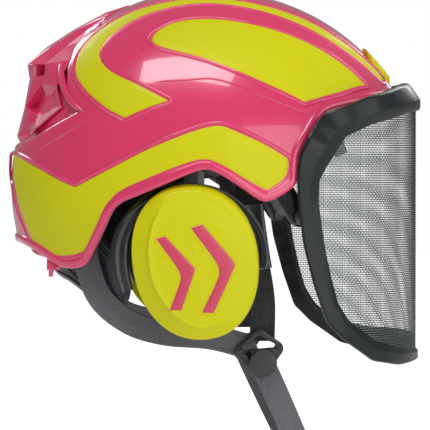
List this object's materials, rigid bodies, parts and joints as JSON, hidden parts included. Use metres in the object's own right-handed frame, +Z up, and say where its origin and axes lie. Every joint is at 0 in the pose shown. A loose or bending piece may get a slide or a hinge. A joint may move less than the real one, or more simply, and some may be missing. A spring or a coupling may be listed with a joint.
{
  "type": "forestry helmet",
  "caption": "Safety helmet for forestry work with a hinged wire-mesh face visor, swing-out ear muffs, adjustable nape band and chin strap.",
  "frame": {"origin": "the middle of the line through the centres of the two ear cups", "axes": "+Z up out of the crown, +X forward towards the visor, +Y to the wearer's left"},
  "size_m": [0.321, 0.2342, 0.3715],
  "materials": {
    "shell_pink": "glossy moulded ABS",
    "panel_yellow": "glossy neon yellow",
    "inner_plastic": "satin moulded",
    "harness_plastic": "satin dark blue-grey",
    "visor_plastic": "satin charcoal",
    "mesh_steel": "woven stainless wire",
    "arm_plastic": "glossy black",
    "steel_pin": "turned steel",
    "cup_black": "satin black",
    "chevron_pink": "satin pink inlay",
    "cushion_vinyl": "soft black vinyl",
    "foam": "open-cell foam",
    "webbing_grey": "woven polyester webbing",
    "webbing_black": "woven polyester webbing",
    "padding": "knitted comfort padding",
    "button_grey": "satin grey",
    "rubber_grip": "ribbed rubber"
  },
  "bodies": {
    "shell": {"outer_shell": "shell_pink", "side_panel_right": "panel_yellow", "side_panel_left": "panel_yellow", "crown_panel_right": "panel_yellow", "crown_panel_left": "panel_yellow", "crown_band_right": "panel_yellow", "crown_band_left": "panel_yellow", "front_cap": "panel_yellow", "rear_vent_hood": "shell_pink", "strap_hooks": "shell_pink", "inner_shell": "inner_plastic", "spacer_posts": "inner_plastic", "headband": "harness_plastic", "sweatband": "padding", "headband_clips": "inner_plastic", "crown_straps": "webbing_black", "crown_pad": "padding", "visor_brackets": "inner_plastic", "visor_pivot_pins": "steel_pin", "muff_brackets": "inner_plastic", "muff_hinge_pins": "steel_pin", "chin_strap_front_right": "webbing_black", "chin_strap_front_left": "webbing_black", "chin_strap_rear_right": "webbing_grey", "chin_strap_rear_left": "webbing_grey", "strap_sleeves": "harness_plastic", "strap_anchors": "inner_plastic", "strap_slider_right": "cup_black", "strap_slider_left": "cup_black"},
    "nape_unit": {"headband_rear": "harness_plastic", "nape_cradle": "harness_plastic", "nape_pad": "padding", "adjuster_housing": "harness_plastic"},
    "knob": {"adjuster_knob": "rubber_grip"},
    "visor": {"visor_frame": "visor_plastic", "visor_mesh": "mesh_steel", "visor_arm_right": "arm_plastic", "visor_arm_left": "arm_plastic", "mesh_clips": "arm_plastic"},
    "arm_right": {"muff_arm_right": "cup_black"},
    "arm_left": {"muff_arm_left": "cup_black"},
    "chin_loop": {"chin_strap_lower_right": "webbing_grey", "chin_strap_lower_left": "webbing_grey", "buckle_body": "cup_black", "buckle_clip": "cup_black"},
    "release_button": {"buckle_button": "button_grey"},
    "button_right": {"slider_button_right": "button_grey"},
    "button_left": {"slider_button_left": "button_grey"},
    "cup_right": {"cup_cover_right": "panel_yellow", "cup_chevrons_right": "chevron_pink", "cup_housing_right": "cup_black", "ear_cushion_right": "cushion_vinyl", "ear_foam_right": "foam"},
    "cup_left": {"cup_cover_left": "panel_yellow", "cup_chevrons_left": "chevron_pink", "cup_housing_left": "cup_black", "ear_cushion_left": "cushion_vinyl", "ear_foam_left": "foam"}
  },
  "joints": [
    {"name": "visor_tilt", "type": "hinge", "parent": "shell", "child": "visor", "pos_m": [0.038, 0, 0.092], "axis": [0, -1, 0], "range_deg": [0, 60]},
    {"name": "muff_right_swing", "type": "hinge", "parent": "shell", "child": "arm_right", "pos_m": [0, -0.1, 0.069], "axis": [-1, 0, 0], "range_deg": [0, 25]},
    {"name": "muff_left_swing", "type": "hinge", "parent": "shell", "child": "arm_left", "pos_m": [0, 0.1, 0.069], "axis": [1, 0, 0], "range_deg": [0, 25]},
    {"name": "cup_right_tilt", "type": "hinge", "parent": "arm_right", "child": "cup_right", "pos_m": [0, -0.0995, -0.003], "axis": [1, 0, 0], "range_deg": [-3, 3]},
    {"name": "cup_left_tilt", "type": "hinge", "parent": "arm_left", "child": "cup_left", "pos_m": [0, 0.0995, -0.003], "axis": [1, 0, 0], "range_deg": [-3, 3]},
    {"name": "nape_slide", "type": "slide", "parent": "shell", "child": "nape_unit", "axis": [1, 0, 0], "range_m": [-0.002, 0.01]},
    {"name": "size_knob_turn", "type": "hinge", "parent": "nape_unit", "child": "knob", "pos_m": [-0.115, 0, 0.036], "axis": [1, 0, 0], "range_deg": [-115, 573.5]},
    {"name": "chin_loop_swing", "type": "hinge", "parent": "shell", "child": "chin_loop", "pos_m": [0.053, 0, -0.082], "axis": [0, 1, 0], "range_deg": [-20, 20]},
    {"name": "buckle_release", "type": "slide", "parent": "chin_loop", "child": "release_button", "axis": [-0.4161, 0, 0.9093], "range_m": [0, 0.0015]},
    {"name": "slider_press_right", "type": "slide", "parent": "shell", "child": "button_right", "axis": [0, 1, 0], "range_m": [0, 0.0015]},
    {"name": "slider_press_left", "type": "slide", "parent": "shell", "child": "button_left", "axis": [0, -1, 0], "range_m": [0, 0.0015]}
  ],
  "couplings": [
    {"joint": "size_knob_turn", "follows": "nape_slide", "rad_per_m": 1000}
  ]
}
